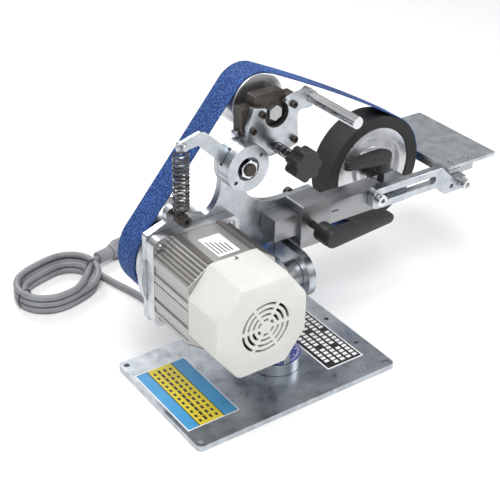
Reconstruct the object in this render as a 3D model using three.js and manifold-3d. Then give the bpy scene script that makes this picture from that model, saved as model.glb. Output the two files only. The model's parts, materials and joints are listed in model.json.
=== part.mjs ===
// A small knife-maker's belt grinder for a 762 x 25 mm belt, on a swivelling and tilting stand.
// Millimetres, +Z up. The origin is the centre of the base plate's underside, +X runs along the
// tool arm towards the contact wheel and +Y along the motor shaft towards the belt.
import * as THREE from 'three';
import { mergeVertices } from 'three/addons/utils/BufferGeometryUtils.js';
import Module from 'manifold-3d';

const wasm = await Module();
wasm.setup();

// ---------------------------------------------------------------- driving dimensions
const GAP = 0.3; // between neighbouring pieces
const BASE = { halfX: 98.8, halfY: 63.4, thick: 5, corner: 5 };
const SWIVEL = { x: 14.2, y: -5, r: 22.3, top: 15.7 };
const TILT = { y: -5, z: 86.5, r: 20.3 };
const MOTOR = { x: -51.5, z: 107.2, side: 78.5, front: -35, back: 13.1 };
const PLATE = { front: 23.6, back: 29.9 };
const BELT = { front: 44.5, back: 70.1, thick: 0.8, bow: 0.03 };
const DRIVE = { x: MOTOR.x, z: MOTOR.z, r: 38.2 };
const TRACK = { x: 24, z: 221.4, r: 24.4 };
const CONTACT = { x: 152.5, z: 126.8, r: 50.2 };
const HUB = { x: -11.5, z: 190, r: 19 };
const ARM = { front: 18.3, back: 23.3 };
const HINGE = { y: 29.5, z: 208 };
const KNOB = { x: 23.3, z: 194.7 };
const HANDLE = { x: 57.5, z: 227.5, r: 4.8 };
const SPRING = { x: -65.5, y: 14, bottom: 165.2, top: 213.2, r: 5.8, wire: 2, turns: 15 };
const BAR = { x0: 16, x1: 129, y0: 4.3, y1: 23.3, z0: 116, z1: 135.5 };
const REST = { x: 118.5, z: 129.5, front: -3, back: 4 };
const TABLE = { x0: 206, x1: 266, y0: 7, y1: 109, z0: 127, z1: 130, pivotX: 215, pivotZ: 118.5 };
const CORD = { r: 3, floor: 3.3 };
const PLUG = { x: -36, y: 214, z: 9.5, angle: 0.22 };
const HANK = { x: -86, y: 197, run: 26, r: 32, turn: 0.28, height: 19 };

// ---------------------------------------------------------------- materials
const COLOURS = {
  zinc_plate: ['#b9bfc6', 0.35, 0.9],
  black_oxide: ['#2b2623', 0.45, 0.7],
  aluminium: ['#c9ccd0', 0.35, 0.9],
  motor_grey: ['#a7a9ac', 0.4, 0.8],
  cover_plastic: ['#e2e1dc', 0.5, 0],
  black_plastic: ['#17181a', 0.4, 0],
  rubber: ['#141414', 0.8, 0],
  abrasive: ['#1d4f9c', 0.9, 0],
  chrome: ['#dfe3e8', 0.12, 1],
  steel: ['#9ea3a9', 0.3, 1],
  scale_blue: ['#3a4a9a', 0.4, 0.1],
  copper: ['#a86a3a', 0.4, 0.9],
  cord_grey: ['#7b7e84', 0.5, 0],
};

// ---------------------------------------------------------------- shapes and solids
const OUT_OF_PLANE = {
  x: new THREE.Matrix4().makeBasis(
    new THREE.Vector3(0, 1, 0), new THREE.Vector3(0, 0, 1), new THREE.Vector3(1, 0, 0)),
  y: new THREE.Matrix4().makeBasis(
    new THREE.Vector3(1, 0, 0), new THREE.Vector3(0, 0, 1), new THREE.Vector3(0, -1, 0)),
  z: new THREE.Matrix4(),
};

// A closed three.js geometry as a manifold solid.
function solid(geometry) {
  geometry.deleteAttribute('normal');
  geometry.deleteAttribute('uv');
  const merged = mergeVertices(geometry, 1e-4);
  const points = merged.attributes.position.array;
  const index = merged.index.array;
  const faces = [];
  for (let i = 0; i < index.length; i += 3) {
    const [a, b, c] = index.slice(i, i + 3);
    if (a !== b && b !== c && c !== a) faces.push(a, b, c);
  }
  let volume = 0;
  const corner = (i) => new THREE.Vector3().fromArray(points, 3 * i);
  for (let i = 0; i < faces.length; i += 3) {
    volume += corner(faces[i]).dot(corner(faces[i + 1]).cross(corner(faces[i + 2])));
  }
  if (volume < 0) faces.reverse();
  return new wasm.Manifold(new wasm.Mesh({
    numProp: 3, vertProperties: new Float32Array(points), triVerts: new Uint32Array(faces),
  }));
}

// A box between two limits along each axis.
function box(x0, x1, y0, y1, z0, z1) {
  const g = new THREE.BoxGeometry(x1 - x0, y1 - y0, z1 - z0);
  return solid(g.translate((x0 + x1) / 2, (y0 + y1) / 2, (z0 + z1) / 2));
}

// A flat outline (a list of [u, v] points or a Shape), raised along one axis from a0 to a1.
function slab(axis, outline, a0, a1, holes = [], bevel = 0, curveSegments = 5) {
  const shape = outline instanceof THREE.Shape
    ? outline : new THREE.Shape(outline.map(([u, v]) => new THREE.Vector2(u, v)));
  for (const [u, v, r] of holes) {
    shape.holes.push(new THREE.Path().absarc(u, v, r, 0, 2 * Math.PI));
  }
  const g = new THREE.ExtrudeGeometry(shape, {
    depth: a1 - a0 - 2 * bevel, curveSegments, bevelEnabled: bevel > 0,
    bevelThickness: bevel, bevelSize: bevel, bevelOffset: -bevel, bevelSegments: 2,
  });
  g.translate(0, 0, axis === 'y' ? -a1 + bevel : a0 + bevel);
  return solid(g.applyMatrix4(OUT_OF_PLANE[axis]));
}

// Turns a geometry made along +Y to lie along an axis, with its centre line through (u, v).
function lie(g, axis, u, v) {
  if (axis === 'x') return g.rotateZ(-Math.PI / 2).translate(0, u, v);
  if (axis === 'y') return g.translate(u, 0, v);
  return g.rotateX(Math.PI / 2).translate(u, v, 0);
}

// A rod, or with six sides a hexagon, along an axis from a0 to a1.
function rod(axis, u, v, r, a0, a1, sides = 24) {
  const g = new THREE.CylinderGeometry(r, r, a1 - a0, sides).translate(0, (a0 + a1) / 2, 0);
  return solid(lie(g, axis, u, v));
}

// A turned ring from a closed profile of [radius, place along the axis] points.
function turned(axis, u, v, profile, sides = 64) {
  const points = [...profile, profile[0]].map(([r, a]) => new THREE.Vector2(r, a));
  return solid(lie(new THREE.LatheGeometry(points, sides), axis, u, v));
}

const ring = (axis, u, v, ro, ri, a0, a1, sides = 32) =>
  turned(axis, u, v, [[ri, a0], [ro, a0], [ro, a1], [ri, a1]], sides);

// A round tube along a curve, cut square at both ends.
function tube(curve, r, steps, sides = 10) {
  const section = [];
  for (let i = 0; i < sides; i++) {
    const t = (2 * Math.PI * i) / sides;
    section.push(new THREE.Vector2(r * Math.cos(t), r * Math.sin(t)));
  }
  return solid(new THREE.ExtrudeGeometry(
    new THREE.Shape(section), { steps, extrudePath: curve, bevelEnabled: false }));
}

// A helix about a line parallel to Z or Y.
class Helix extends THREE.Curve {
  constructor(axis, u, v, r, a0, a1, turns) {
    super();
    Object.assign(this, { axis, u, v, r, a0, a1, turns });
  }

  getPoint(t, target = new THREE.Vector3()) {
    const angle = 2 * Math.PI * this.turns * t;
    const along = this.a0 + (this.a1 - this.a0) * t;
    const u = this.u + this.r * Math.cos(angle);
    const v = this.v + this.r * Math.sin(angle);
    return this.axis === 'z' ? target.set(u, v, along) : target.set(u, along, v);
  }
}

const curveThrough = (points) =>
  new THREE.CatmullRomCurve3(points.map((p) => new THREE.Vector3(...p)), false, 'centripetal');

// A rectangle with round corners.
function rounded(u0, u1, v0, v1, r) {
  const s = new THREE.Shape().moveTo(u0 + r, v0).lineTo(u1 - r, v0);
  s.absarc(u1 - r, v0 + r, r, -Math.PI / 2, 0).absarc(u1 - r, v1 - r, r, 0, Math.PI / 2);
  s.absarc(u0 + r, v1 - r, r, Math.PI / 2, Math.PI);
  return s.absarc(u0 + r, v0 + r, r, Math.PI, 1.5 * Math.PI);
}

// A socket head cap screw along Y: its head faces -Y and its shank ends at tip.
function capScrew(u, v, headR, headFront, headBack, shankR, tip) {
  return rod('y', u, v, headR, headFront, headBack)
    .add(rod('y', u, v, shankR, headBack - 0.5, tip, 16))
    .subtract(rod('y', u, v, headR * 0.5, headFront - 1, headFront + headR * 0.6, 6));
}

// ---------------------------------------------------------------- the scene graph
const machine = new THREE.Group();
machine.name = 'belt_grinder';

function group(parent, name) {
  const g = new THREE.Group();
  g.name = name;
  parent.add(g);
  return g;
}

// Adds a solid as a named mesh whose own origin is at its middle.
function put(parent, name, material, body) {
  const data = body.getMesh();
  const g = new THREE.BufferGeometry();
  g.setAttribute('position', new THREE.BufferAttribute(new Float32Array(data.vertProperties), 3));
  g.setIndex(Array.from(data.triVerts));
  g.computeBoundingBox();
  const middle = g.boundingBox.getCenter(new THREE.Vector3());
  g.translate(-middle.x, -middle.y, -middle.z);
  g.computeVertexNormals();
  const [color, roughness, metalness] = COLOURS[material];
  const mesh = new THREE.Mesh(g, new THREE.MeshStandardMaterial({ color, roughness, metalness }));
  mesh.name = name;
  mesh.position.copy(middle);
  parent.add(mesh);
}

// ---------------------------------------------------------------- base and stand
const base = group(machine, 'base');
const swivel = group(base, 'swivel');
const frame = group(swivel, 'frame');

function basePlate() {
  const holes = [];
  for (const x of [-93.4, 93.4]) {
    for (const y of [-57, 57]) holes.push([x, y, 2.6]);
  }
  holes.push([89.8, 20, 2.1], [89.5, -22.4, 2.1]);
  const { halfX, halfY, thick, corner } = BASE;
  const plate = slab('z', rounded(-halfX, halfX, -halfY, halfY, corner), 0, thick, holes);
  const countersink = rod('z', SWIVEL.x, SWIVEL.y, 8.6, -1, 3.4, 32);
  return plate.subtract(countersink).subtract(rod('z', SWIVEL.x, SWIVEL.y, 4.3, -1, 6, 32));
}

function swivelFlange() {
  return rod('z', SWIVEL.x, SWIVEL.y, SWIVEL.r, BASE.thick + GAP, SWIVEL.top, 64)
    .subtract(rod('z', SWIVEL.x, SWIVEL.y, 4.3, 0, 13, 32))
    .subtract(rod('z', 2.5, -19, 2.5, 6, 20, 16));
}

function uprightBracket() {
  const foot = 17.2;
  const cheek = new THREE.Shape().moveTo(-27, foot).lineTo(17, foot).lineTo(17, 30);
  cheek.lineTo(TILT.y + TILT.r, TILT.z);
  cheek.absarc(TILT.y, TILT.z, TILT.r, 0, Math.PI).lineTo(-27, 30);
  return slab('x', cheek, 7.5, 13.5, [], 0, 10)
    .add(rod('z', SWIVEL.x, SWIVEL.y, 11.3, SWIVEL.top + GAP, 23, 48))
    .subtract(rod('x', TILT.y, TILT.z, 5.1, 5, 16));
}

put(base, 'base_plate', 'zinc_plate', basePlate());
put(swivel, 'swivel_bolt', 'steel', rod('z', SWIVEL.x, SWIVEL.y, 8.2, 0.4, 3, 32)
  .add(rod('z', SWIVEL.x, SWIVEL.y, 4, 2, 12.6, 24))
  .subtract(rod('z', SWIVEL.x, SWIVEL.y, 2.5, 0, 2.4, 6)));
put(swivel, 'swivel_flange', 'zinc_plate', swivelFlange());
put(swivel, 'angle_scale', 'scale_blue',
  ring('z', SWIVEL.x, SWIVEL.y, 22, 11.8, SWIVEL.top + GAP, 16.9)
    .subtract(rod('z', 2.5, -19, 2.6, 14, 20, 16)));
put(swivel, 'swivel_lock_screw', 'black_oxide', rod('z', 2.5, -19, 3.9, 17.3, 21.3)
  .add(rod('z', 2.5, -19, 2.2, 6.5, 18, 16)).subtract(rod('z', 2.5, -19, 1.9, 18.9, 22, 6)));
put(swivel, 'upright_bracket', 'zinc_plate', uprightBracket());
put(swivel, 'tilt_spacer', 'steel', ring('x', TILT.y, TILT.z, 12, 5.1, 13.8, 30.7, 48));
put(swivel, 'tilt_bolt', 'black_oxide', rod('x', TILT.y, TILT.z, 9, -4.5, 1.5, 6)
  .add(rod('x', TILT.y, TILT.z, 9.6, 1.2, 7.2, 32)).add(rod('x', TILT.y, TILT.z, 4.8, 0, 47, 24)));
put(swivel, 'tilt_nut', 'steel', rod('x', TILT.y, TILT.z, 9, 38.6, 45, 6)
  .subtract(rod('x', TILT.y, TILT.z, 5.1, 37, 48, 24)));

// ---------------------------------------------------------------- frame plates
function tiltPlate() {
  const side = new THREE.Shape().moveTo(TILT.y, TILT.z - TILT.r).lineTo(23.3, TILT.z - TILT.r);
  side.lineTo(23.3, TILT.z + TILT.r).lineTo(TILT.y, TILT.z + TILT.r);
  side.absarc(TILT.y, TILT.z, TILT.r, Math.PI / 2, 1.5 * Math.PI);
  return slab('x', side, 31, 38.3, [[TILT.y, TILT.z, 5.1]], 0, 10);
}

// The back plate: motor seat, neck up to the tension pivot, and a wing to the clamp block.
function framePlate() {
  const s = new THREE.Shape().moveTo(-88.7, 69).lineTo(-14.2, 69);
  s.lineTo(2, 104).lineTo(29, 104).lineTo(29, 69).lineTo(40.3, 69).lineTo(40.3, 104);
  s.lineTo(69, 104).lineTo(69, 141).quadraticCurveTo(68.8, 143.3, 66.8, 143.3);
  s.lineTo(40.3, 142.2).quadraticCurveTo(8, 141, -1, 161);
  s.quadraticCurveTo(-1.5, 172, 3, 184).absarc(HUB.x, HUB.z, 13.6, -0.4, Math.PI + 0.4);
  s.quadraticCurveTo(-21, 168, -27.2, 157).quadraticCurveTo(-31.6, 149, -39.6, 148.6);
  s.lineTo(-56, 147.5).absarc(-65.5, 157, 7.5, -0.4, Math.PI + 0.6).lineTo(-88.7, 146.3);
  s.quadraticCurveTo(-90.7, 146.3, -90.7, 144.3).lineTo(-90.7, 71);
  s.quadraticCurveTo(-90.7, 69, -88.7, 69);
  const holes = [[HUB.x, HUB.z, 5.1], [-65.5, 159, 2.4]];
  return slab('y', s, PLATE.front, PLATE.back, holes, 0, 7)
    .add(rod('y', MOTOR.x, MOTOR.z, 44, PLATE.front, PLATE.back, 64))
    .subtract(rod('y', MOTOR.x, MOTOR.z, 12, 20, 35, 48));
}

// The block clamped round the tool bar: open at the back, where the frame plate closes it.
function clampBlock() {
  return slab('y', rounded(39.5, 69, 104.4, 142.9, 2), 0, PLATE.front - GAP)
    .subtract(box(35, 75, BAR.y0 - GAP, 30, BAR.z0 - GAP, BAR.z1 + GAP))
    .subtract(rod('y', 50.8, 124.5, 3.3, -1, 5, 24));
}

put(frame, 'tilt_plate', 'zinc_plate', tiltPlate());
put(frame, 'frame_plate', 'zinc_plate', framePlate());
put(frame, 'clamp_block', 'aluminium', clampBlock());

// ---------------------------------------------------------------- motor
const half = MOTOR.side / 2;

// The motor's eight-sided section: a square with its corners cut.
function octagon(cutX, cutZ) {
  const points = [];
  for (const [sx, sz, first] of [[1, 1, 0], [-1, 1, 1], [-1, -1, 0], [1, -1, 1]]) {
    const pair = [[half, half - cutZ], [half - cutX, half]];
    if (first) pair.reverse();
    for (const [x, z] of pair) points.push([MOTOR.x + sx * x, MOTOR.z + sz * z]);
  }
  return points;
}

// The fan cover's section: flat sides joined by two-step corners, drawn in by inset.
function coverOutline(inset) {
  const corner = [[39.1, 15.7], [34.1, 22.3], [21, 39.25]];
  const points = [];
  for (const [sx, sz] of [[1, 1], [-1, 1], [-1, -1], [1, -1]]) {
    const run = sx * sz > 0 ? corner : [...corner].reverse();
    for (const [x, z] of run) {
      const shrink = 1 - inset / Math.hypot(x, z);
      points.push([MOTOR.x + sx * x * shrink, MOTOR.z + sz * z * shrink]);
    }
  }
  return points;
}

function motorHousing() {
  let body = slab('y', octagon(20.4, 14.5), MOTOR.front, MOTOR.back)
    .subtract(rod('y', MOTOR.x, MOTOR.z, 33, MOTOR.front - 1, MOTOR.back + 1, 64));
  const grooves = [[118, 126, 1.4], [111, 112.4, 1], [95, 98.5, 1.4], [84.5, 90, 1]];
  for (const [z0, z1, deep] of grooves) {
    for (const side of [-1, 1]) {
      const face = MOTOR.x + side * half;
      body = body.subtract(box(face - deep, face + deep, -40, 20, z0, z1));
    }
  }
  return body;
}

// The fan cover: a domed box, open at the back, with rings of curved slots in its front.
function fanCover() {
  const front = -79;
  const back = -35.3;
  let cover = slab('y', coverOutline(0), front, back + 8, [], 6)
    .subtract(box(-100, 0, back, 0, 60, 160))
    .subtract(slab('y', coverOutline(2.2), front + 2.4, back + 12, [], 5));
  const ribs = 6;
  for (const r of [6.5, 11, 15.5, 20]) {
    for (let i = 0; i < ribs; i++) {
      const start = (2 * Math.PI * i) / ribs + 1.3 / r;
      const end = (2 * Math.PI * (i + 1)) / ribs - 1.3 / r;
      const slot = new THREE.Shape().absarc(MOTOR.x, MOTOR.z + 1, r + 1.1, start, end);
      slot.absarc(MOTOR.x, MOTOR.z + 1, r - 1.1, end, start, true);
      cover = cover.subtract(slab('y', slot, front - 1, front + 4, [], 0, r > 9 ? 3 : 2));
    }
  }
  return cover;
}

function coolingFan() {
  let fan = ring('y', MOTOR.x, MOTOR.z, 9, 5.2, -60, -46, 32);
  for (let i = 0; i < 7; i++) {
    const blade = solid(new THREE.BoxGeometry(22, 12, 1.6).translate(18.5, -53, 0)
      .rotateY((2 * Math.PI * i) / 7).translate(MOTOR.x, 0, MOTOR.z));
    fan = fan.add(blade);
  }
  return fan;
}

function drivePulley() {
  const profile = [[5.3, 36], [12, 36], [12, 50], [33, 50], [33, 38], [DRIVE.r - GAP, 38],
    [DRIVE.r - GAP, 72], [33, 72], [33, 58], [12, 58], [12, 70], [5.3, 70]];
  return turned('y', DRIVE.x, DRIVE.z, profile, 56);
}

const spin = group(frame, 'motor_spin');
put(frame, 'motor_flange', 'aluminium',
  slab('y', rounded(MOTOR.x - half, MOTOR.x + half, MOTOR.z - half, MOTOR.z + half, 7),
    MOTOR.back + GAP, PLATE.front - GAP).subtract(rod('y', MOTOR.x, MOTOR.z, 13, 0, 30, 40)));
put(frame, 'motor_housing', 'motor_grey', motorHousing());
put(frame, 'fan_cover', 'cover_plastic', fanCover());
put(frame, 'motor_end_shield', 'aluminium', ring('y', MOTOR.x, MOTOR.z, 32.7, 6, -34.6, -30));
put(frame, 'motor_stator', 'copper', ring('y', MOTOR.x, MOTOR.z, 32.7, 22, -26, 8));
put(frame, 'motor_bearing', 'steel', ring('y', MOTOR.x, MOTOR.z, 12.7, 5.3, 14, 22, 32));
put(spin, 'motor_shaft', 'steel', rod('y', MOTOR.x, MOTOR.z, 5, -64, 74, 32));
put(spin, 'motor_rotor', 'steel', ring('y', MOTOR.x, MOTOR.z, 21.5, 5.3, -24, 6, 48));
put(spin, 'cooling_fan', 'black_plastic', coolingFan());
put(spin, 'drive_pulley', 'aluminium', drivePulley());
put(spin, 'pulley_nut', 'steel', rod('y', MOTOR.x, MOTOR.z, 8.5, 70.3, 76, 6)
  .subtract(rod('y', MOTOR.x, MOTOR.z, 5.3, 69, 78, 24)));

// ---------------------------------------------------------------- belt
// The belt's path round its three wheels, drawn out by grow. The wheels have the belt on their
// left-hand side as it runs drive, tracking, contact, and the free run over the top bows out.
function beltPath(grow) {
  const wheels = [DRIVE, TRACK, CONTACT];
  const tangent = wheels.map((a, i) => {
    const b = wheels[(i + 1) % 3];
    const dx = b.x - a.x;
    const dz = b.z - a.z;
    const length = Math.hypot(dx, dz);
    return Math.atan2(dz, dx) + Math.PI / 2 + Math.asin((b.r - a.r) / length);
  });
  const path = new THREE.Shape();
  wheels.forEach((wheel, i) => {
    const bowIn = i === 2 ? BELT.bow : 0;
    const bowOut = i === 1 ? BELT.bow : 0;
    let start = tangent[(i + 2) % 3] - bowIn;
    const end = tangent[i] + bowOut;
    while (start < end) start += 2 * Math.PI;
    if (i === 2) {
      const from = new THREE.Vector2(
        TRACK.x + (TRACK.r + grow) * Math.cos(tangent[1] + BELT.bow),
        TRACK.z + (TRACK.r + grow) * Math.sin(tangent[1] + BELT.bow));
      const to = new THREE.Vector2(
        wheel.x + (wheel.r + grow) * Math.cos(start), wheel.z + (wheel.r + grow) * Math.sin(start));
      const middle = from.clone().add(to).multiplyScalar(0.5);
      const out = new THREE.Vector2(Math.cos(tangent[1]), Math.sin(tangent[1]));
      middle.addScaledVector(out, from.distanceTo(to) * BELT.bow);
      path.quadraticCurveTo(middle.x, middle.y, to.x, to.y);
    }
    path.absarc(wheel.x, wheel.z, wheel.r + grow, start, end, true);
  });
  return path;
}

put(frame, 'sanding_belt', 'abrasive', slab('y', beltPath(BELT.thick), BELT.front, BELT.back, [], 0, 14)
  .subtract(slab('y', beltPath(0), BELT.front - 5, BELT.back + 5, [], 0, 14)));

// ---------------------------------------------------------------- tension arm
const arm = group(frame, 'tension_arm');

function armPlate() {
  const s = new THREE.Shape().moveTo(2.1, 230.6).lineTo(13.6, 228.2).lineTo(14.6, 226.8);
  s.lineTo(13, 221.4).absarc(TRACK.x, TRACK.z, 11.3, Math.PI, 2 * Math.PI);
  s.lineTo(34.3, 225.9).lineTo(31.5, 229.7).lineTo(41.6, 233.1).lineTo(56.3, 234.6);
  s.quadraticCurveTo(62, 233, 65.2, 226.5).quadraticCurveTo(62, 220, 55, 219.5);
  s.lineTo(46.7, 219.7).quadraticCurveTo(44.3, 218, 44.3, 215).lineTo(45.8, 191.7);
  s.lineTo(35.8, 188.3).lineTo(18, 186.5).lineTo(9, 198).lineTo(-3, 200).lineTo(-3, 216);
  const holes = [[HANDLE.x, HANDLE.z, 3.4], [KNOB.x, KNOB.z, 2.9]];
  return slab('y', s, ARM.front, ARM.back)
    .add(rod('y', HUB.x, HUB.z, HUB.r, ARM.front, ARM.back, 48))
    .subtract(rod('y', HUB.x, HUB.z, 5.1, 10, 30, 24))
    .subtract(rod('y', holes[0][0], holes[0][1], holes[0][2], 10, 30, 24))
    .subtract(rod('y', holes[1][0], holes[1][1], holes[1][2], 10, 30, 24));
}

// The bent strip that the spring pulls on.
function leverStrip() {
  const outline = [[-68.5, 215], [-61, 214.6], [-51, 216], [-28, 194], [-20, 202.5],
    [-44.5, 225], [-49.5, 226.6], [-66, 222], [-69.5, 219]];
  return slab('y', outline, 12.6, 15.6);
}

function tensionHub() {
  let hub = rod('y', HUB.x, HUB.z, HUB.r, 4, ARM.front - GAP, 64)
    .subtract(rod('y', HUB.x, HUB.z, 9.7, 3, 12, 32))
    .subtract(rod('y', HUB.x, HUB.z, 5.1, 3, 20, 24));
  for (const degrees of [38, 219]) {
    const t = (degrees * Math.PI) / 180;
    hub = hub.subtract(
      rod('y', HUB.x + 14.6 * Math.cos(t), HUB.z + 14.6 * Math.sin(t), 1.7, 3, 8, 16));
  }
  const slot = box(-60, -21.5, 12.6 - GAP, 15.6 + GAP, 193.6, 230);
  return hub.subtract(slot);
}

function handleRod() {
  return rod('y', HANDLE.x, HANDLE.z, HANDLE.r, -38, ARM.front - GAP, 32)
    .add(rod('y', HANDLE.x, HANDLE.z, 3.1, 10, 28.5, 20));
}

put(frame, 'tension_bolt', 'black_oxide', rod('y', HUB.x, HUB.z, 4.8, 0, 35.5, 24)
  .add(rod('y', HUB.x, HUB.z, 8.6, PLATE.back + GAP, 36.2, 6)));
put(frame, 'tension_nut', 'chrome', rod('y', HUB.x, HUB.z, 8, 2.2, 11.7, 6)
  .intersect(rod('y', HUB.x, HUB.z, 7.6, 1, 12, 32))
  .subtract(rod('y', HUB.x, HUB.z, 5.1, 1, 13, 24)));
put(arm, 'tension_hub', 'zinc_plate', tensionHub());
put(arm, 'tension_arm_plate', 'zinc_plate', armPlate());
put(arm, 'spring_lever', 'zinc_plate', leverStrip()
  .subtract(box(-24.5, 0, 10, 20, 150, 240)).add(rod('y', SPRING.x + 1.5, 218.6, 2.6, 9, 19, 20)));
put(arm, 'handle_rod', 'chrome', handleRod());
put(arm, 'handle_nut', 'black_oxide', rod('y', HANDLE.x, HANDLE.z, 6.6, ARM.back + GAP, 28, 6)
  .subtract(rod('y', HANDLE.x, HANDLE.z, 3.4, 20, 30, 20)));
put(frame, 'tension_spring', 'steel', tube(new Helix('z', SPRING.x, SPRING.y, SPRING.r,
  SPRING.bottom, SPRING.top, SPRING.turns), SPRING.wire / 2, SPRING.turns * 10, 5));
put(frame, 'spring_anchor', 'black_oxide', capScrew(-65.5, 159, 4.4, 5.5, 10.5, 2.1, 31)
  .add(ring('y', -65.5, 159, 4.9, 2, 10.2, 18, 24)));

// ---------------------------------------------------------------- tracking wheel and its yoke
const yoke = group(arm, 'tracking_yoke_group');
const tracker = group(yoke, 'tracking_spin');

function hingeLug(x0, x1, z0, z1) {
  return box(x0, x1, ARM.back + GAP, 35, z0, z1)
    .subtract(rod('x', HINGE.y, HINGE.z, 2.5, x0 - 1, x1 + 1, 20));
}

function trackingYoke() {
  return slab('y', rounded(6.5, 35.4, 188, 237, 2), 24.7, 35)
    .subtract(rod('x', HINGE.y, HINGE.z, 2.5, 0, 45, 20))
    .subtract(rod('y', TRACK.x, TRACK.z, 4.3, 20, 40, 24));
}

function trackingAxle() {
  return rod('y', TRACK.x, TRACK.z, 4, 20.4, 73, 24)
    .add(rod('y', TRACK.x, TRACK.z, 6.6, 19.6, 24.3, 6))
    .add(rod('y', TRACK.x, TRACK.z, 7, 35.3, 42.4, 32))
    .add(rod('y', TRACK.x, TRACK.z, 6.5, 71.4, 74, 32));
}

function trackingWheel() {
  const out = TRACK.r - GAP;
  const profile = [[4.3, 46], [14, 46], [14, 43], [out - 0.6, 43], [out, 43.6],
    [out, 70.6], [out - 0.6, 71], [14, 71], [14, 67], [4.3, 67]];
  return turned('y', TRACK.x, TRACK.z, profile, 44);
}

// A seven-lobed knob on a threaded stud.
function trackingKnob() {
  let knob = rod('y', KNOB.x, KNOB.z, 10.4, -25, -11, 32);
  for (let i = 0; i < 7; i++) {
    const t = (2 * Math.PI * i) / 7;
    knob = knob.add(
      rod('y', KNOB.x + 9 * Math.cos(t), KNOB.z + 9 * Math.sin(t), 3.8, -25, -11, 16));
  }
  return knob.add(rod('y', KNOB.x, KNOB.z, 7, -12, -8, 24))
    .add(rod('y', KNOB.x, KNOB.z, 2.5, -10, 23.9, 16));
}

put(arm, 'hinge_lug_left', 'black_oxide', hingeLug(-5, 6.1, 206.2, 229));
put(arm, 'hinge_lug_right', 'black_oxide', hingeLug(35.8, 45.5, 192, 232));
put(arm, 'hinge_pin', 'chrome', rod('x', HINGE.y, HINGE.z, 2.2, -7, 47, 16)
  .add(rod('x', HINGE.y, HINGE.z, 3.6, -8.8, -5.4, 20)));
put(arm, 'knob_spring', 'steel',
  tube(new Helix('y', KNOB.x, KNOB.z, 4.2, -6.9, 17.3, 8), 0.5, 72, 4));
put(yoke, 'tracking_yoke', 'black_oxide', trackingYoke());
put(yoke, 'tracking_axle', 'steel', trackingAxle());
put(tracker, 'tracking_wheel', 'aluminium', trackingWheel());
put(group(arm, 'knob'), 'tracking_knob', 'black_plastic', trackingKnob());

// ---------------------------------------------------------------- tool arm and contact wheel
const tool = group(frame, 'tool_arm');
const contact = group(tool, 'contact_spin');

function wheelArm() {
  return slab('y', rounded(BAR.x1 + GAP, 158, 113, 136, 3), 6, 21.5)
    .subtract(rod('y', CONTACT.x, CONTACT.z, 5, 9, 25, 24));
}

function contactHub() {
  const profile = [[12.9, 47], [17, 47], [19, 51], [30, 51], [31.5, 45.5], [35, 45],
    [39.3, 45], [39.3, 69], [35, 69], [31.5, 68], [30, 61], [19, 61], [17, 67], [12.9, 67]];
  return turned('y', CONTACT.x, CONTACT.z, profile, 48);
}

// A lever: a round boss on a stud with a tapering arm that ends in a round tip.
function clampLever() {
  const s = new THREE.Shape().moveTo(50.8, 116.5).lineTo(108, 121.7);
  s.absarc(108, 126.3, 4.6, -Math.PI / 2, Math.PI / 2).lineTo(50.8, 132.5);
  s.absarc(50.8, 124.5, 8, Math.PI / 2, 1.5 * Math.PI);
  return slab('y', s, -30, -21, [], 1.5).add(rod('y', 50.8, 124.5, 8.4, -24, -12, 32))
    .add(rod('y', 50.8, 124.5, 3, -13, 3.9, 20));
}

function barLever() {
  const s = new THREE.Shape().moveTo(132, 4.2).absarc(132, 12, 7.8, -Math.PI / 2, Math.PI / 2);
  s.lineTo(97, 18.6).absarc(97, 14.4, 4.2, Math.PI / 2, 1.5 * Math.PI);
  return slab('z', s, 155, 163.5, [], 1.5).add(rod('z', 132, 12, 7.6, 147, 158, 32))
    .add(rod('z', 132, 12, 3, 136.3, 149, 20));
}

put(tool, 'tool_bar', 'aluminium', box(BAR.x0, BAR.x1, BAR.y0, BAR.y1, BAR.z0, BAR.z1)
  .subtract(rod('y', REST.x, REST.z, 3.2, 0, 16, 20)));
put(tool, 'wheel_arm', 'zinc_plate', wheelArm());
put(tool, 'contact_axle', 'black_oxide', rod('y', CONTACT.x, CONTACT.z, 4.7, 9.5, 74, 24)
  .add(rod('y', CONTACT.x, CONTACT.z, 9, 21.8, 43.5, 32))
  .add(rod('y', CONTACT.x, CONTACT.z, 8, 68.5, 74, 6)));
put(contact, 'contact_hub', 'aluminium', contactHub());
put(contact, 'contact_tyre', 'rubber',
  ring('y', CONTACT.x, CONTACT.z, CONTACT.r - GAP, 39.6, 43.8, 69, 64));
put(contact, 'contact_bearing', 'steel', ring('y', CONTACT.x, CONTACT.z, 12.6, 5, 48, 66, 32));
put(group(frame, 'clamp_handle'), 'clamp_lever', 'black_plastic', clampLever());
put(group(tool, 'bar_handle'), 'bar_lever', 'black_plastic', barLever());

// ---------------------------------------------------------------- work rest and table
const rest = group(tool, 'work_rest');
const tableGroup = group(rest, 'table_group');

function slottedArm() {
  const s = new THREE.Shape().moveTo(118, 120).lineTo(184.8, 120.7).lineTo(196, 111.3);
  s.lineTo(216, 111.3).quadraticCurveTo(222.5, 111.8, 222.5, 118);
  s.lineTo(220, 123.6).lineTo(205.5, 123.6).lineTo(189.4, 139).lineTo(118, 139);
  s.quadraticCurveTo(112, 139, 112, 133).lineTo(112, 126).quadraticCurveTo(112, 120, 118, 120);
  const slot = new THREE.Path().absarc(REST.x, REST.z, 3.3, Math.PI / 2, 1.5 * Math.PI);
  slot.absarc(180, REST.z, 3.3, -Math.PI / 2, Math.PI / 2);
  s.holes.push(slot);
  return slab('y', s, REST.front, REST.back, [[203.2, 117.2, 2.3]])
    .subtract(rod('y', TABLE.pivotX, TABLE.pivotZ, 3.2, -5, 6, 20));
}

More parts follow.
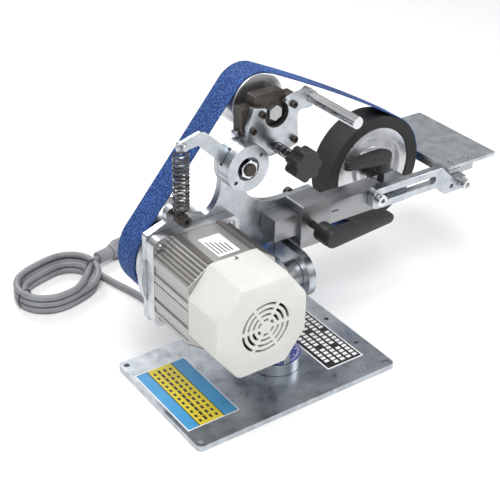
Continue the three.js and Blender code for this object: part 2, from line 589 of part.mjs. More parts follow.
function tableBracket() {
  const leg = new THREE.Shape().moveTo(207, 126.7).lineTo(207, 118.5);
  leg.absarc(TABLE.pivotX, TABLE.pivotZ, 8, Math.PI, 2 * Math.PI).lineTo(223, 126.7);
  return box(207, 238.5, 7.5, 58, 121, TABLE.z0 - GAP)
    .add(slab('y', leg, REST.back + 0.6, 12))
    .subtract(rod('y', TABLE.pivotX, TABLE.pivotZ, 3.2, 0, 11.6, 20));
}

function table() {
  const holes = [[215.7, 16, 1], [217, 12.5, 1], [234.3, 16, 1], [236.5, 12.5, 1]];
  return slab('z', rounded(TABLE.x0, TABLE.x1, TABLE.y0, TABLE.y1, 2), TABLE.z0, TABLE.z1, holes);
}

put(tool, 'rest_clamp_screw', 'chrome', capScrew(REST.x, REST.z, 4.9, -8.2, -3.3, 2.9, 14));
put(rest, 'slotted_arm', 'zinc_plate', slottedArm());
put(rest, 'table_pivot_screw', 'chrome',
  capScrew(TABLE.pivotX, TABLE.pivotZ, 4.9, -11, -3.3, 2.9, 11));
put(tableGroup, 'table_bracket', 'steel', tableBracket());
put(tableGroup, 'work_table', 'zinc_plate', table());

// ---------------------------------------------------------------- mains lead
// The drop from the gland to the base, the run to the back, the folded hank, and the plug.
const DROP = [[-15.4, -20, 66], [-11.9, -19.6, 60.5], [-9.6, -17.5, 52], [-9.4, -13, 42],
  [-10.8, -5, 31.5], [-13.4, 6, 21.5], [-15, 15.5, 14.2], [-15.5, 24.4, 10.3]];
const RUN = [[-15.5, 26, 9.9], [-15.5, 36, 8.9], [-15.5, 48, 8.6], [-15.7, 58, 8.6],
  [-16.1, 66, 8.3], [-17.2, 76, 5.9], [-19.2, 87, 3.9], [-22, 98, CORD.floor],
  [-25, 112, CORD.floor], [-27.5, 128, CORD.floor], [-29.8, 143, CORD.floor],
  [-33.5, 158, CORD.floor], [-38, 173, CORD.floor], [-41, 185, CORD.floor]];

function gland() {
  const along = new THREE.Vector3(0.6, 0, -0.8);
  const turn = new THREE.Quaternion().setFromUnitVectors(new THREE.Vector3(0, 1, 0), along);
  const piece = (r, from, to, sides) => solid(new THREE.CylinderGeometry(r, r, to - from, sides)
    .translate(0, (from + to) / 2, 0).applyQuaternion(turn).translate(-22.4, -20, 75.4));
  return piece(6.2, 0.6, 6, 6).add(piece(4.6, 5, 11.4, 24));
}

// The outside of the hank: a flat ring with round ends, turned a little to the machine.
function hankSolid() {
  const s = new THREE.Shape().absarc(HANK.run / 2, 0, HANK.r, -Math.PI / 2, Math.PI / 2);
  s.absarc(-HANK.run / 2, 0, HANK.r, Math.PI / 2, 1.5 * Math.PI);
  const g = new THREE.ExtrudeGeometry(s, {
    depth: HANK.height, curveSegments: 16, bevelEnabled: false });
  return solid(g.rotateZ(HANK.turn).translate(HANK.x, HANK.y, 0.2));
}

function plug() {
  const g = new THREE.CylinderGeometry(9.2, 6.5, 8, 32).translate(0, 4, 0);
  let body = solid(g).add(solid(new THREE.CylinderGeometry(9.2, 9.2, 26, 32).translate(0, 20, 0)));
  for (const side of [-5, 5]) {
    body = body.add(
      solid(new THREE.CylinderGeometry(2, 2, 20, 16).translate(side, 42, 0)));
  }
  return body;
}

// Lays a piece made along +Y on the floor behind the machine, pointing along the lead's end.
function laidBehind(piece, along) {
  const turn = new THREE.Matrix4().makeRotationZ(PLUG.angle - Math.PI / 2);
  const reach = new THREE.Vector3(0, along, 0).applyMatrix4(turn);
  turn.setPosition(PLUG.x + reach.x, PLUG.y + reach.y, PLUG.z);
  return piece.transform(turn.elements);
}

put(frame, 'cable_gland', 'black_plastic', gland());
put(base, 'cord_drop', 'cord_grey', tube(curveThrough(DROP), CORD.r, 14));
put(base, 'cord_run', 'cord_grey', tube(curveThrough(RUN), CORD.r, 22));
put(base, 'cord_hank', 'cord_grey', hankSolid());
put(base, 'cord_sleeve', 'cord_grey', laidBehind(
  solid(new THREE.CylinderGeometry(6, 6, 16, 24).translate(0, 8, 0)), 0));
put(base, 'cord_plug', 'cord_grey', laidBehind(plug(), 16.3));

export default machine;
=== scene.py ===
"""A belt grinder on a swivelling stand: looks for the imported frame, in metres."""
import json
import math

import bmesh
import bpy
from mathutils import Matrix, Vector


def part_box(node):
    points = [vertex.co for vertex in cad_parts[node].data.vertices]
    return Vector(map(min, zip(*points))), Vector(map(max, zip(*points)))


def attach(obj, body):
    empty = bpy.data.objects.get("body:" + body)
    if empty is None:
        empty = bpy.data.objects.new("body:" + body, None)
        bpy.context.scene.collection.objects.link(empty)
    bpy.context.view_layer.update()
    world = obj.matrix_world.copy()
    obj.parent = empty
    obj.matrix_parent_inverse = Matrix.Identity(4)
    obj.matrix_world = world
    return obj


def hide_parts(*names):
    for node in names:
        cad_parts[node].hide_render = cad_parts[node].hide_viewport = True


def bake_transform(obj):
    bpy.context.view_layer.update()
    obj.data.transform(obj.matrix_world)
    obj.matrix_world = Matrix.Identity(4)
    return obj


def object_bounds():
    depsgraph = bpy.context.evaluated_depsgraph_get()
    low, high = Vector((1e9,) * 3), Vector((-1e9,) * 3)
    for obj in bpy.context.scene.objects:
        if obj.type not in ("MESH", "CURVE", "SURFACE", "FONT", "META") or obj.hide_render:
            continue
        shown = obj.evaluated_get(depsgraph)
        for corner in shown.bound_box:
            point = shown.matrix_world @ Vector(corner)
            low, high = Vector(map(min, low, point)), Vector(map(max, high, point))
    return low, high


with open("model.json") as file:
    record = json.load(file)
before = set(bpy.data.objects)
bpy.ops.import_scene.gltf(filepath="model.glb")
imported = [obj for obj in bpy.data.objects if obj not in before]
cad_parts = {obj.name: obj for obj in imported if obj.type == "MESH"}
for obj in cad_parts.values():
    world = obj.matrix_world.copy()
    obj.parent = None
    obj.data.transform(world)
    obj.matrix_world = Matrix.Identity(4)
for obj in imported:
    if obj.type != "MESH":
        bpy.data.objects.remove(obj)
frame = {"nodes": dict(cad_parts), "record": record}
cad_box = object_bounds()
MM = 0.001

# ---------------------------------------------------------------- camera, light and floor
CAMERA_AT = (-0.45584, -0.61694, 0.58237)
AZIMUTH = math.radians(-35.8)
ELEVATION = math.radians(31.28)
ROLL = math.radians(1.67)
LENS = 81.58


def camera():
    a, e = AZIMUTH, ELEVATION
    back = Vector((math.sin(a) * math.cos(e), -math.cos(a) * math.cos(e), math.sin(e)))
    right = Vector((math.cos(a), math.sin(a), 0))
    up = back.cross(right)
    turned_right = right * math.cos(ROLL) + up * math.sin(ROLL)
    turned_up = up * math.cos(ROLL) - right * math.sin(ROLL)
    data = bpy.data.cameras.new("camera")
    data.lens, data.sensor_width = LENS, 36
    data.clip_start, data.clip_end = 0.01, 20
    cam = bpy.data.objects.new("camera", data)
    axes = Matrix((turned_right, turned_up, back)).transposed()
    cam.matrix_world = Matrix.Translation(CAMERA_AT) @ axes.to_4x4()
    bpy.context.scene.collection.objects.link(cam)
    bpy.context.scene.camera = cam


def area_light(name, at, size, watts):
    data = bpy.data.lights.new(name, "AREA")
    data.shape, data.size, data.energy = "DISK", size, watts
    lamp = bpy.data.objects.new(name, data)
    lamp.location = at
    aim = Vector((0.04, 0.03, 0.1)) - Vector(at)
    lamp.rotation_euler = aim.to_track_quat("-Z", "Y").to_euler()
    bpy.context.scene.collection.objects.link(lamp)


def studio():
    world = bpy.data.worlds.new("studio")
    bpy.context.scene.world = world
    world.use_nodes = True
    sky = world.node_tree.nodes["Background"]
    sky.inputs["Strength"].default_value = 0.72
    where = world.node_tree.nodes.new("ShaderNodeTexCoord")
    split = world.node_tree.nodes.new("ShaderNodeSeparateXYZ")
    wire(world, where, "Generated", split, "Vector")
    heights = [(0.0, grey(0.25)), (0.12, grey(0.22)), (0.35, grey(0.75)), (0.6, grey(1.0)),
               (0.8, grey(0.55)), (1.0, grey(1.0))]
    tone = ramp(world, split, "Z", heights)
    wire(world, tone, "Color", sky, "Color")
    area_light("key", (-0.35, -0.45, 1.4), 0.8, 15)
    area_light("fill", (1.0, -0.5, 0.7), 0.5, 3.5)
    area_light("rim", (0.1, 1.2, 0.9), 0.6, 6)
    bpy.context.scene.view_settings.view_transform = "Standard"
    bm = bmesh.new()
    bmesh.ops.create_grid(bm, x_segments=2, y_segments=2, size=6)
    floor = link("floor", bm)
    floor.location.z = cad_box[0].z - 0.0002
    m, shader, _ = new_material("floor_white")
    shader.inputs["Base Color"].default_value = (0.93, 0.93, 0.93, 1)
    shader.inputs["Roughness"].default_value = 0.9
    floor.data.materials.append(m)


# ---------------------------------------------------------------- mesh helpers
def link(name, bm, material=None, body=None, bevel=0.0):
    mesh = bpy.data.meshes.new(name)
    bmesh.ops.recalc_face_normals(bm, faces=bm.faces)
    bm.to_mesh(mesh)
    bm.free()
    piece = bpy.data.objects.new(name, mesh)
    bpy.context.scene.collection.objects.link(piece)
    if material:
        mesh.materials.append(material)
    if bevel:
        edge = piece.modifiers.new("bevel", "BEVEL")
        edge.width, edge.segments, edge.limit_method = bevel, 2, "ANGLE"
    if body:
        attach(piece, body)
    return piece


def axes_for(axis):
    """Maps outline (u, v) and depth w to x, y, z for an axis the outline is raised along."""
    return {
        "x": lambda u, v, w: Vector((w, u, v)),
        "y": lambda u, v, w: Vector((u, w, v)),
        "z": lambda u, v, w: Vector((u, v, w)),
    }[axis]


def add_prism(bm, axis, outline, w0, w1):
    place = axes_for(axis)
    low = [bm.verts.new(place(u, v, w0)) for u, v in outline]
    high = [bm.verts.new(place(u, v, w1)) for u, v in outline]
    bm.faces.new(low)
    bm.faces.new(high)
    for i in range(len(low)):
        j = (i + 1) % len(low)
        bm.faces.new((low[i], low[j], high[j], high[i]))


def circle(u, v, r, sides=32, start=0.0):
    steps = [start + 2 * math.pi * i / sides for i in range(sides)]
    return [(u + r * math.cos(t), v + r * math.sin(t)) for t in steps]


def add_rings(bm, axis, u, v, profile, sides=32):
    """A turned skin from [radius, place] points; radius 0 closes an end to a point."""
    place = axes_for(axis)
    rows = []
    for r, w in profile:
        if r == 0:
            rows.append([bm.verts.new(place(u, v, w))] * sides)
        else:
            rows.append([bm.verts.new(place(a, b, w)) for a, b in circle(u, v, r, sides)])
    for low, high in zip(rows, rows[1:]):
        for i in range(sides):
            j = (i + 1) % sides
            corners = []
            for vert in (low[i], low[j], high[j], high[i]):
                if vert not in corners:
                    corners.append(vert)
            if len(corners) > 2:
                bm.faces.new(corners)


def add_socket_head(bm, axis, u, v, r, w_top, w_seat):
    """A socket head cap screw's head, its hexagon socket facing w_top."""
    way = 1 if w_seat > w_top else -1
    rim = 0.12 * r * way
    profile = [(r, w_seat), (r, w_top + rim), (r * 0.9, w_top), (r * 0.56, w_top),
               (r * 0.52, w_top + rim), (r * 0.5, w_top + 0.6 * r * way), (0, w_top + 0.7 * r * way)]
    add_rings(bm, axis, u, v, profile, 24)


def add_pan_head(bm, axis, u, v, r, w_top, w_seat):
    rise = w_top - w_seat
    profile = [(r, w_seat), (r, w_seat + 0.35 * rise), (r * 0.8, w_seat + 0.85 * rise),
               (r * 0.4, w_top), (0, w_top)]
    add_rings(bm, axis, u, v, profile, 20)


# ---------------------------------------------------------------- materials
def new_material(name):
    m = bpy.data.materials.new(name)
    m.use_nodes = True
    nodes = m.node_tree.nodes
    return m, nodes["Principled BSDF"], nodes


def wire(m, a, out, b, into):
    m.node_tree.links.new(a.outputs[out], b.inputs[into])


def noise(m, scale, detail=4.0, stretch=(1, 1, 1)):
    nodes = m.node_tree.nodes
    where = nodes.new("ShaderNodeTexCoord")
    mapping = nodes.new("ShaderNodeMapping")
    mapping.inputs["Scale"].default_value = stretch
    tex = nodes.new("ShaderNodeTexNoise")
    tex.inputs["Scale"].default_value = scale
    tex.inputs["Detail"].default_value = detail
    wire(m, where, "Object", mapping, "Vector")
    wire(m, mapping, "Vector", tex, "Vector")
    return tex


def ramp(m, source, out, stops):
    node = m.node_tree.nodes.new("ShaderNodeValToRGB")
    wire(m, source, out, node, "Fac")
    items = node.color_ramp.elements
    while len(items) < len(stops):
        items.new(0.5)
    for item, (at, colour) in zip(items, stops):
        item.position = at
        item.color = (*colour, 1) if len(colour) == 3 else colour
    return node


def grey(value):
    return (value, value, value)


def surface(name, dark, light, rough, metallic=0.0, scale=60.0, bump=0.05, bump_scale=900.0,
            stretch=(1, 1, 1), ior=1.5):
    """A mottled surface: two tones, roughness that varies with them, and a fine bump."""
    m, shader, nodes = new_material(name)
    shader.inputs["Metallic"].default_value = metallic
    shader.inputs["IOR"].default_value = ior
    blotch = noise(m, scale, 5, stretch)
    tone = ramp(m, blotch, "Fac", [(0.3, dark), (0.7, light)])
    wire(m, tone, "Color", shader, "Base Color")
    gloss = ramp(m, blotch, "Fac", [(0.3, grey(rough[0])), (0.7, grey(rough[1]))])
    wire(m, gloss, "Color", shader, "Roughness")
    fine = noise(m, bump_scale, 3, stretch)
    relief = nodes.new("ShaderNodeBump")
    relief.inputs["Strength"].default_value = bump
    relief.inputs["Distance"].default_value = 0.0003
    wire(m, fine, "Fac", relief, "Height")
    wire(m, relief, "Normal", shader, "Normal")
    return m


def turned_metal(name, dark, light, axis_xz, rough=(0.22, 0.38)):
    """Aluminium off a lathe: fine rings about a line parallel to Y."""
    m = surface(name, dark, light, rough, 1.0, 40, 0.03, 700)
    nodes = m.node_tree.nodes
    where = nodes.new("ShaderNodeTexCoord")
    shift = nodes.new("ShaderNodeMapping")
    shift.inputs["Location"].default_value = (-axis_xz[0], 0, -axis_xz[1])
    rings = nodes.new("ShaderNodeTexWave")
    rings.wave_type, rings.rings_direction = "RINGS", "Y"
    rings.inputs["Scale"].default_value = 320
    rings.inputs["Distortion"].default_value = 1.5
    relief = nodes.new("ShaderNodeBump")
    relief.inputs["Strength"].default_value = 0.12
    relief.inputs["Distance"].default_value = 0.0002
    wire(m, where, "Object", shift, "Vector")
    wire(m, shift, "Vector", rings, "Vector")
    wire(m, rings, "Fac", relief, "Height")
    wire(m, relief, "Normal", nodes["Principled BSDF"], "Normal")
    return m


def grit():
    """Blue coated abrasive: dark blue ground, pale grains, rough bump."""
    m, shader, nodes = new_material("abrasive_blue")
    where = nodes.new("ShaderNodeTexCoord")
    cells = nodes.new("ShaderNodeTexVoronoi")
    cells.inputs["Scale"].default_value = 750
    wire(m, where, "Object", cells, "Vector")
    grain = ramp(m, cells, "Distance", [
        (0.08, (0.2, 0.38, 0.66)), (0.25, (0.03, 0.12, 0.4)), (0.6, (0.006, 0.03, 0.15))])
    wear = noise(m, 14, 4)
    tone = ramp(m, wear, "Fac", [(0.35, grey(0.75)), (0.7, grey(1.25))])
    mix = nodes.new("ShaderNodeMix")
    mix.data_type, mix.blend_type = "RGBA", "MULTIPLY"
    mix.inputs[0].default_value = 1.0
    m.node_tree.links.new(grain.outputs["Color"], mix.inputs[6])
    m.node_tree.links.new(tone.outputs["Color"], mix.inputs[7])
    m.node_tree.links.new(mix.outputs[2], shader.inputs["Base Color"])
    shader.inputs["Roughness"].default_value = 0.75
    relief = nodes.new("ShaderNodeBump")
    relief.inputs["Strength"].default_value = 0.5
    relief.inputs["Distance"].default_value = 0.0004
    wire(m, cells, "Distance", relief, "Height")
    wire(m, relief, "Normal", shader, "Normal")
    return m


ZINC = surface("zinc", (0.4, 0.435, 0.47), (0.6, 0.635, 0.67), (0.26, 0.36), 1.0, 110, 0.02)
OXIDE = surface("black_oxide", (0.035, 0.03, 0.026), (0.09, 0.078, 0.07), (0.35, 0.5), 0.6, 90, 0.2)
ALUMINIUM = surface("aluminium", (0.5, 0.505, 0.52), (0.66, 0.665, 0.68), (0.25, 0.38), 1.0, 40,
                    0.06, 600, (1, 1, 6))
MOTOR_GREY = surface("motor_grey", (0.4, 0.395, 0.385), (0.55, 0.54, 0.53), (0.35, 0.5), 0.8, 40,
                     0.08, 500, (1, 0.1, 1))
COVER = surface("cover_plastic", (0.66, 0.655, 0.63), (0.72, 0.715, 0.69), (0.42, 0.55), 0.0, 30, 0.1, 1500)
BLACK = surface("black_plastic", (0.010, 0.010, 0.011), (0.022, 0.022, 0.024), (0.32, 0.5), 0.0, 90, 0.2, 1800)
RUBBER = surface("rubber", (0.012, 0.012, 0.012), (0.03, 0.03, 0.03), (0.6, 0.8), 0.0, 60, 0.3, 1200)
CHROME = surface("chrome", (0.62, 0.63, 0.65), (0.78, 0.78, 0.8), (0.05, 0.12), 1.0, 50, 0.01)
STEEL = surface("steel", (0.34, 0.35, 0.36), (0.5, 0.51, 0.52), (0.22, 0.36), 1.0, 70, 0.06)
COPPER = surface("copper", (0.45, 0.2, 0.1), (0.65, 0.34, 0.2), (0.3, 0.45), 1.0, 200, 0.3, 400)
CORD = surface("cord_grey", (0.2, 0.205, 0.22), (0.28, 0.288, 0.305), (0.35, 0.48), 0.0, 60, 0.06, 1400)
SCALE = surface("scale_blue", (0.05, 0.065, 0.26), (0.09, 0.1, 0.36), (0.3, 0.42), 0.1, 80, 0.03)
WHITE = surface("white_print", (0.8, 0.8, 0.8), (0.9, 0.9, 0.9), (0.35, 0.45), 0.0, 60, 0.02)
YELLOW = surface("yellow_print", (0.72, 0.56, 0.03), (0.8, 0.66, 0.05), (0.3, 0.4), 0.0, 60, 0.02)
BLUE_PRINT = surface("blue_print", (0.06, 0.3, 0.58), (0.08, 0.36, 0.66), (0.3, 0.4), 0.0, 60, 0.02)
DARK_STEEL = surface("dark_steel", (0.1, 0.1, 0.105), (0.2, 0.2, 0.21), (0.25, 0.4), 1.0, 90, 0.05)
BRUSHED = surface("brushed", (0.28, 0.285, 0.295), (0.42, 0.425, 0.44), (0.28, 0.42), 1.0, 60, 0.15,
                  500, (0.06, 1, 1))
RIB_BROWN = surface("rib_brown", (0.17, 0.16, 0.152), (0.27, 0.255, 0.245), (0.35, 0.5), 0.7, 60, 0.05,
                    500, (1, 0.1, 1))
GRIT = grit()
SLOT_MATERIAL = {
    "zinc_plate": ZINC, "black_oxide": OXIDE, "aluminium": ALUMINIUM, "motor_grey": MOTOR_GREY,
    "cover_plastic": COVER, "black_plastic": BLACK, "rubber": RUBBER, "abrasive": GRIT,
    "chrome": CHROME, "steel": STEEL, "scale_blue": SCALE, "copper": COPPER, "cord_grey": CORD,
}


def smooth_group():
    """A node group that drops custom normals and shades a mesh smooth across shallow edges only."""
    tree = bpy.data.node_groups.new("smooth_shallow", "GeometryNodeTree")
    tree.interface.new_socket("Geometry", in_out="INPUT", socket_type="NodeSocketGeometry")
    tree.interface.new_socket("Geometry", in_out="OUTPUT", socket_type="NodeSocketGeometry")
    new, join = tree.nodes.new, tree.links.new
    start, end = new("NodeGroupInput"), new("NodeGroupOutput")
    drop = new("GeometryNodeRemoveAttribute")
    drop.inputs["Name"].default_value = "custom_normal"
    faces = new("GeometryNodeSetShadeSmooth")
    faces.domain = "FACE"
    edges = new("GeometryNodeSetShadeSmooth")
    edges.domain = "EDGE"
    edges.inputs["Shade Smooth"].default_value = False
    angle = new("GeometryNodeInputMeshEdgeAngle")
    steep = new("FunctionNodeCompare")
    steep.operation = "GREATER_THAN"
    steep.inputs[1].default_value = math.radians(28)
    join(start.outputs[0], drop.inputs["Geometry"])
    join(drop.outputs["Geometry"], faces.inputs["Geometry"])
    join(faces.outputs["Geometry"], edges.inputs["Geometry"])
    join(angle.outputs[0], steep.inputs[0])
    join(steep.outputs["Result"], edges.inputs["Selection"])
    join(edges.outputs["Geometry"], end.inputs[0])
    return tree


def dress_cad():
    tree = smooth_group()
    slots = {s["node"]: s["material_slot"] for s in frame["record"]["subparts"]}
    for name, node in frame["nodes"].items():
        node.data.materials.clear()
        node.data.materials.append(SLOT_MATERIAL[slots[name]])
        weld = node.modifiers.new("weld", "WELD")
        weld.merge_threshold = 1e-5
        if name not in ("tension_spring", "knob_spring", "sanding_belt"):
            edge = node.modifiers.new("edge", "BEVEL")
            edge.width, edge.segments, edge.limit_method = 0.25 * MM, 1, "ANGLE"
            edge.angle_limit = math.radians(35)
        node.modifiers.new("smooth", "NODES").node_group = tree


# ---------------------------------------------------------------- mains lead
DROP = [(-23.4, -20, 76.5), (-20.2, -20, 72.3), (-15.4, -20, 66), (-11.9, -19.6, 60.5),
        (-9.6, -17.5, 52), (-9.4, -13, 42), (-10.8, -5, 31.5), (-13.4, 6, 21.5),
        (-15, 15.5, 14.2), (-15.5, 24.4, 10.3)]
RUN = [(-15.5, 36, 8.9), (-15.5, 48, 8.6), (-15.7, 58, 8.6), (-16.1, 66, 8.3), (-17.2, 76, 5.9),
       (-19.2, 87, 3.9), (-22, 98, 3.3), (-25, 112, 3.3), (-27.5, 128, 3.3), (-29.8, 143, 3.3),
       (-33.5, 158, 3.3), (-38, 173, 3.3), (-41, 185, 3.3)]
HANK = {"x": -86.0, "y": 197.0, "run": 26.0, "r": 32.0, "turn": 0.28}
PLUG = {"x": -36.0, "y": 214.0, "z": 9.5, "angle": 0.22}
CORD_D = 6.0


def hank_point(s, r, z):
    """A point of a round-ended loop at s turns from the middle of its right end."""
    half, turn = HANK["run"] / 2, HANK["turn"]
    length = 4 * half + 2 * math.pi * r
    d = (s % 1.0) * length
    quarter = math.pi * r / 2
    if d < quarter:
        t = d / r
        u, v = half + r * math.cos(t), r * math.sin(t)
    elif d < quarter + 2 * half:
        u, v = half - (d - quarter), r
    elif d < 3 * quarter + 2 * half:
        t = math.pi / 2 + (d - quarter - 2 * half) / r
        u, v = -half + r * math.cos(t), r * math.sin(t)
    elif d < 3 * quarter + 4 * half:
        u, v = -half + (d - 3 * quarter - 2 * half), -r
    else:
        t = 1.5 * math.pi + (d - 3 * quarter - 4 * half) / r
        u, v = half + r * math.cos(t), r * math.sin(t)
    return (HANK["x"] + u * math.cos(turn) - v * math.sin(turn),
            HANK["y"] + u * math.sin(turn) + v * math.cos(turn), z)


def hank_route():
    """Five turns in three layers, outer then inner, from the run's end to the sleeve."""
    outer, inner = HANK["r"] - 3.2, HANK["r"] - 9.6
    turns = [(outer, 3.3), (inner, 3.3), (inner, 9.7), (outer, 9.7), (outer, 16.0)]
    points = []
    steps = 16
    for i in range(steps * len(turns) - 3):
        at = i / steps
        k = int(at)
        part = at - k
        r, z = turns[k]
        if k + 1 < len(turns) and part > 0.75:
            mix = (part - 0.75) / 0.25
            mix = mix * mix * (3 - 2 * mix)
            r += (turns[k + 1][0] - r) * mix
            z += (turns[k + 1][1] - z) * mix
        points.append(hank_point(at + 0.02, r, z))
    return points


def mesh_of(curve):
    """A curve's shape as a mesh: its centreline if it has no thickness, else its skin."""
    holder = bpy.data.objects.new("holder", curve)
    bpy.context.scene.collection.objects.link(holder)
    shown = holder.evaluated_get(bpy.context.evaluated_depsgraph_get())
    mesh = bpy.data.meshes.new_from_object(shown)
    bpy.data.objects.remove(holder)
    return mesh


def plug_dir():
    return Vector((math.cos(PLUG["angle"]), math.sin(PLUG["angle"]), 0))


def lead():
    end = Vector((PLUG["x"], PLUG["y"], PLUG["z"]))
    route = [Vector(p) for p in DROP + RUN + hank_route()]
    route += [end - plug_dir() * 6 + Vector((0, 0, 2)), end, end + plug_dir() * 10]
    data = bpy.data.curves.new("mains_lead", "CURVE")
    data.dimensions = "3D"
    spline = data.splines.new("NURBS")
    spline.points.add(len(route) - 1)
    for point, place in zip(spline.points, route):
        point.co = (*(place * MM), 1)
    spline.order_u, spline.use_endpoint_u, spline.resolution_u = 4, True, 6
    path = [v.co.copy() for v in mesh_of(data).vertices]
    data.bevel_depth, data.bevel_resolution = CORD_D / 2 * MM, 4
    data.use_fill_caps = True
    piece = bpy.data.objects.new("mains_lead", mesh_of(data))
    bpy.context.scene.collection.objects.link(piece)
    piece.data.materials.clear()
    piece.data.materials.append(CORD)
    piece.data.polygons.foreach_set("use_smooth", [True] * len(piece.data.polygons))
    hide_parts("cord_drop", "cord_run", "cord_hank")
    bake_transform(piece)
    length = sum((b - a).length for a, b in zip(path, path[1:]))
    ties = [twist_tie("twist_tie_left", 0.49), twist_tie("twist_tie_right", 0.97)]
    return length


def twist_tie(name, at):
    """A thin black tie round the hank's bundle at one place along its loop."""
    middle = Vector(hank_point(at, HANK["r"] - 6.4, 9.6))
    ahead = Vector(hank_point(at + 0.01, HANK["r"] - 6.4, 9.6))
    along = (ahead - middle).normalized()
    side = along.cross(Vector((0, 0, 1)))
    data = bpy.data.curves.new(name, "CURVE")
    data.dimensions = "3D"
    spline = data.splines.new("NURBS")
    steps = 20
    spline.points.add(steps - 1)
    for i, point in enumerate(spline.points):
        t = 2 * math.pi * i / steps
        place = middle + side * 7.2 * math.cos(t) + Vector((0, 0, 8.9 * math.sin(t)))
        point.co = (*(place * MM), 1)
    spline.use_cyclic_u, spline.order_u = True, 4
    data.bevel_depth, data.bevel_resolution = 0.6 * MM, 3
    piece = bpy.data.objects.new(name, data)
    bpy.context.scene.collection.objects.link(piece)
    data.materials.append(BLACK)
    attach(piece, "base")
    return piece


# ---------------------------------------------------------------- detail pieces, in millimetres
def scaled(bm):
    bmesh.ops.scale(bm, vec=(MM, MM, MM), verts=bm.verts)
    return bm


def plate_piece(name, x0, x1, y0, y1, z0, z1, material, body):
    bm = bmesh.new()
    add_prism(bm, "z", [(x0, y0), (x1, y0), (x1, y1), (x0, y1)], z0, z1)
    return link(name, scaled(bm), material, body)


def base_labels():
    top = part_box("base_plate")[1].z / MM
    strips = [("label_white", -95.5, -47, -42.5, 40.7, 0.1, WHITE),
              ("label_blue_left", -94.5, -84, -41.5, 39.7, 0.16, BLUE_PRINT),
              ("label_yellow", -84, -61, -41.5, 39.7, 0.16, YELLOW),
              ("label_blue_right", -61, -48, -41.5, 39.7, 0.16, BLUE_PRINT),
              ("label_silver", 44.6, 82.7, -40, 42.2, 0.1, WHITE),
              ("label_black", 45.8, 81.5, -38.8, 41, 0.16, BLACK)]
    for name, x0, x1, y0, y1, up, material in strips:
        plate_piece(name, x0, x1, y0, y1, top, top + up, material, "base")
    bm = bmesh.new()
    for row in range(5):
        for column in range(16):
            if (row * 7 + column * 3) % 11 == 0:
                continue
            x, y = 49 + row * 6.6, -36 + column * 4.7
            add_prism(bm, "z", [(x, y), (x + 4.2, y), (x + 4.2, y + 3.2), (x, y + 3.2)], top + 0.16, top + 0.2)
    link("label_blocks", scaled(bm), WHITE, "base")
    bm = bmesh.new()
    for row in range(4):
        for dash in range(12):
            x, y = -81.5 + row * 5, -38 + dash * 6.3
            wide = 3.2 + (row * 5 + dash * 3) % 3
            add_prism(bm, "z", [(x, y), (x + 2.2, y), (x + 2.2, y + wide), (x, y + wide)], top + 0.16, top + 0.2)
    for x in (-84, -61):
        add_prism(bm, "z", [(x - 0.4, -41.5), (x + 0.4, -41.5), (x + 0.4, 39.7), (x - 0.4, 39.7)],
                  top + 0.16, top + 0.2)
    link("label_lines", scaled(bm), BLACK, "base")


def scale_ticks():
    low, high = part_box("angle_scale")
    middle = (low + high) / 2 / MM
    top = high.z / MM
    bm = bmesh.new()
    for i in range(72):
        t = 2 * math.pi * i / 72
        inner = 16.2 if i % 6 == 0 else 18.6
        out = Vector((math.cos(t), math.sin(t)))
        side = Vector((-out.y, out.x)) * 0.22
        at = Vector((middle.x, middle.y))
        corners = [at + out * inner - side, at + out * 20.8 - side,
                   at + out * 20.8 + side, at + out * inner + side]
        add_prism(bm, "z", [tuple(c) for c in corners], top, top + 0.06)
    link("scale_ticks", scaled(bm), WHITE, "swivel")


def screws():
    bm = bmesh.new()
    for x, z in ((10, 224), (39.5, 226), (41.5, 196), (1.4, 212.5)):
        add_socket_head(bm, "y", x, z, 2.9, 15.6, 18.4)
    link("arm_screws", scaled(bm), OXIDE, "tension_arm")
    bm = bmesh.new()
    for x, z in ((49.5, 139.6), (60, 109.8)):
        add_socket_head(bm, "y", x, z, 4.2, 35, 29.8)
    for z in (74, 99):
        add_socket_head(bm, "y", 34.6, z, 3.6, 34, 29.8)
    link("block_screws", scaled(bm), OXIDE, "frame")
    bm = bmesh.new()
    for x in (-84.2, -18.8):
        for z in (74.5, 140):
            add_pan_head(bm, "y", x, z, 2.6, 11.6, 13.6)
    link("flange_screws", scaled(bm), STEEL, "frame")
    bm = bmesh.new()
    add_pan_head(bm, "z", -51.5, -39, 2.4, 147.2, 145.6)
    link("cover_screw", scaled(bm), CHROME, "frame")


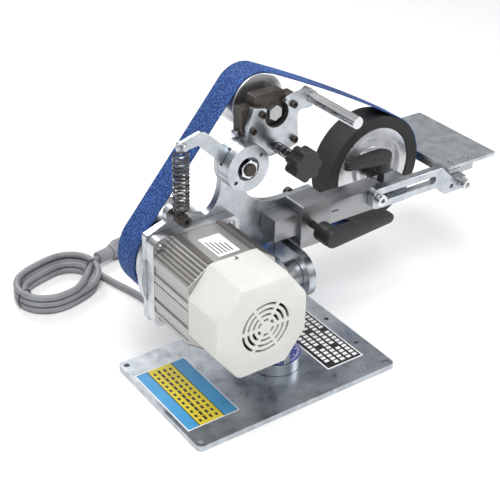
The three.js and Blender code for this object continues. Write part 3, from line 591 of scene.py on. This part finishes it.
def motor_ribs():
    """Fine ribs along the motor's upper and lower chamfers, and its top sticker."""
    side = 78.5 / 2
    bm = bmesh.new()
    for sx in (-1, 1):
        for sz in (-1, 1):
            a = Vector((-51.5 + sx * side, 107.2 + sz * (side - 14.5)))
            b = Vector((-51.5 + sx * (side - 20.4), 107.2 + sz * side))
            out = Vector(((b - a).y, -(b - a).x)).normalized()
            if out.dot(a - Vector((-51.5, 107.2))) < 0:
                out = -out
            for i in range(7):
                c = a.lerp(b, (i + 0.6) / 7.2)
                d = a.lerp(b, (i + 1.05) / 7.2)
                add_prism(bm, "y", [tuple(c), tuple(d), tuple(d + out * 0.9), tuple(c + out * 0.9)],
                          -34.6, 12.8)
    link("motor_ribs", scaled(bm), RIB_BROWN, "frame")
    plate_piece("motor_sticker", -61, -42, -31, -2, 146.5, 146.62, WHITE, "frame")
    bm = bmesh.new()
    for row in range(5):
        add_prism(bm, "z", [(-59 + row * 3, -28), (-58 + row * 3, -28), (-58 + row * 3, -8 - row * 2),
                            (-59 + row * 3, -8 - row * 2)], 146.62, 146.66)
    link("sticker_lines", scaled(bm), DARK_STEEL, "frame")
    bm = bmesh.new()
    for x in (-70.3, -32.7):
        add_prism(bm, "y", [(x - 2.2, 146.2), (x + 2.2, 146.2), (x + 1.8, 147.6), (x - 1.8, 147.6)], -34.8, 13)
    link("motor_rails", scaled(bm), RIB_BROWN, "frame")


def bar_details():
    bm = bmesh.new()
    add_prism(bm, "y", [(74, 126.4), (81, 126.4), (81, 127.6), (74, 127.6)], 4.15, 4.35)
    link("bar_mark", scaled(bm), BLACK, "tool_arm")
    for name, body, x0, x1 in (("spring_hook_top", "tension_arm", 212.6, 216),
                               ("spring_hook_bottom", "frame", 160, 165.4)):
        bm = bmesh.new()
        add_rings(bm, "z", -65.5, 14, [(0, x0), (1, x0), (1, x1), (0, x1)], 12)
        link(name, scaled(bm), STEEL, body)


camera()
studio()
lead_length = lead()
dress_cad()
for turned_node, near in (("contact_hub", "contact_hub"), ("tracking_wheel", "tracking_wheel"),
                          ("drive_pulley", "drive_pulley")):
    lo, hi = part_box(near)
    centre = (lo + hi) / 2
    finish = turned_metal(turned_node + "_turned", (0.52, 0.525, 0.54), (0.7, 0.7, 0.72),
                          (centre.x, centre.z))
    frame["nodes"][turned_node].data.materials[0] = finish
frame["nodes"]["tension_spring"].data.materials[0] = DARK_STEEL
frame["nodes"]["knob_spring"].data.materials[0] = DARK_STEEL
frame["nodes"]["tool_bar"].data.materials[0] = BRUSHED
frame["nodes"]["clamp_block"].data.materials[0] = BRUSHED
base_labels()
scale_ticks()
screws()
motor_ribs()
bar_details()

bpy.context.view_layer.update()
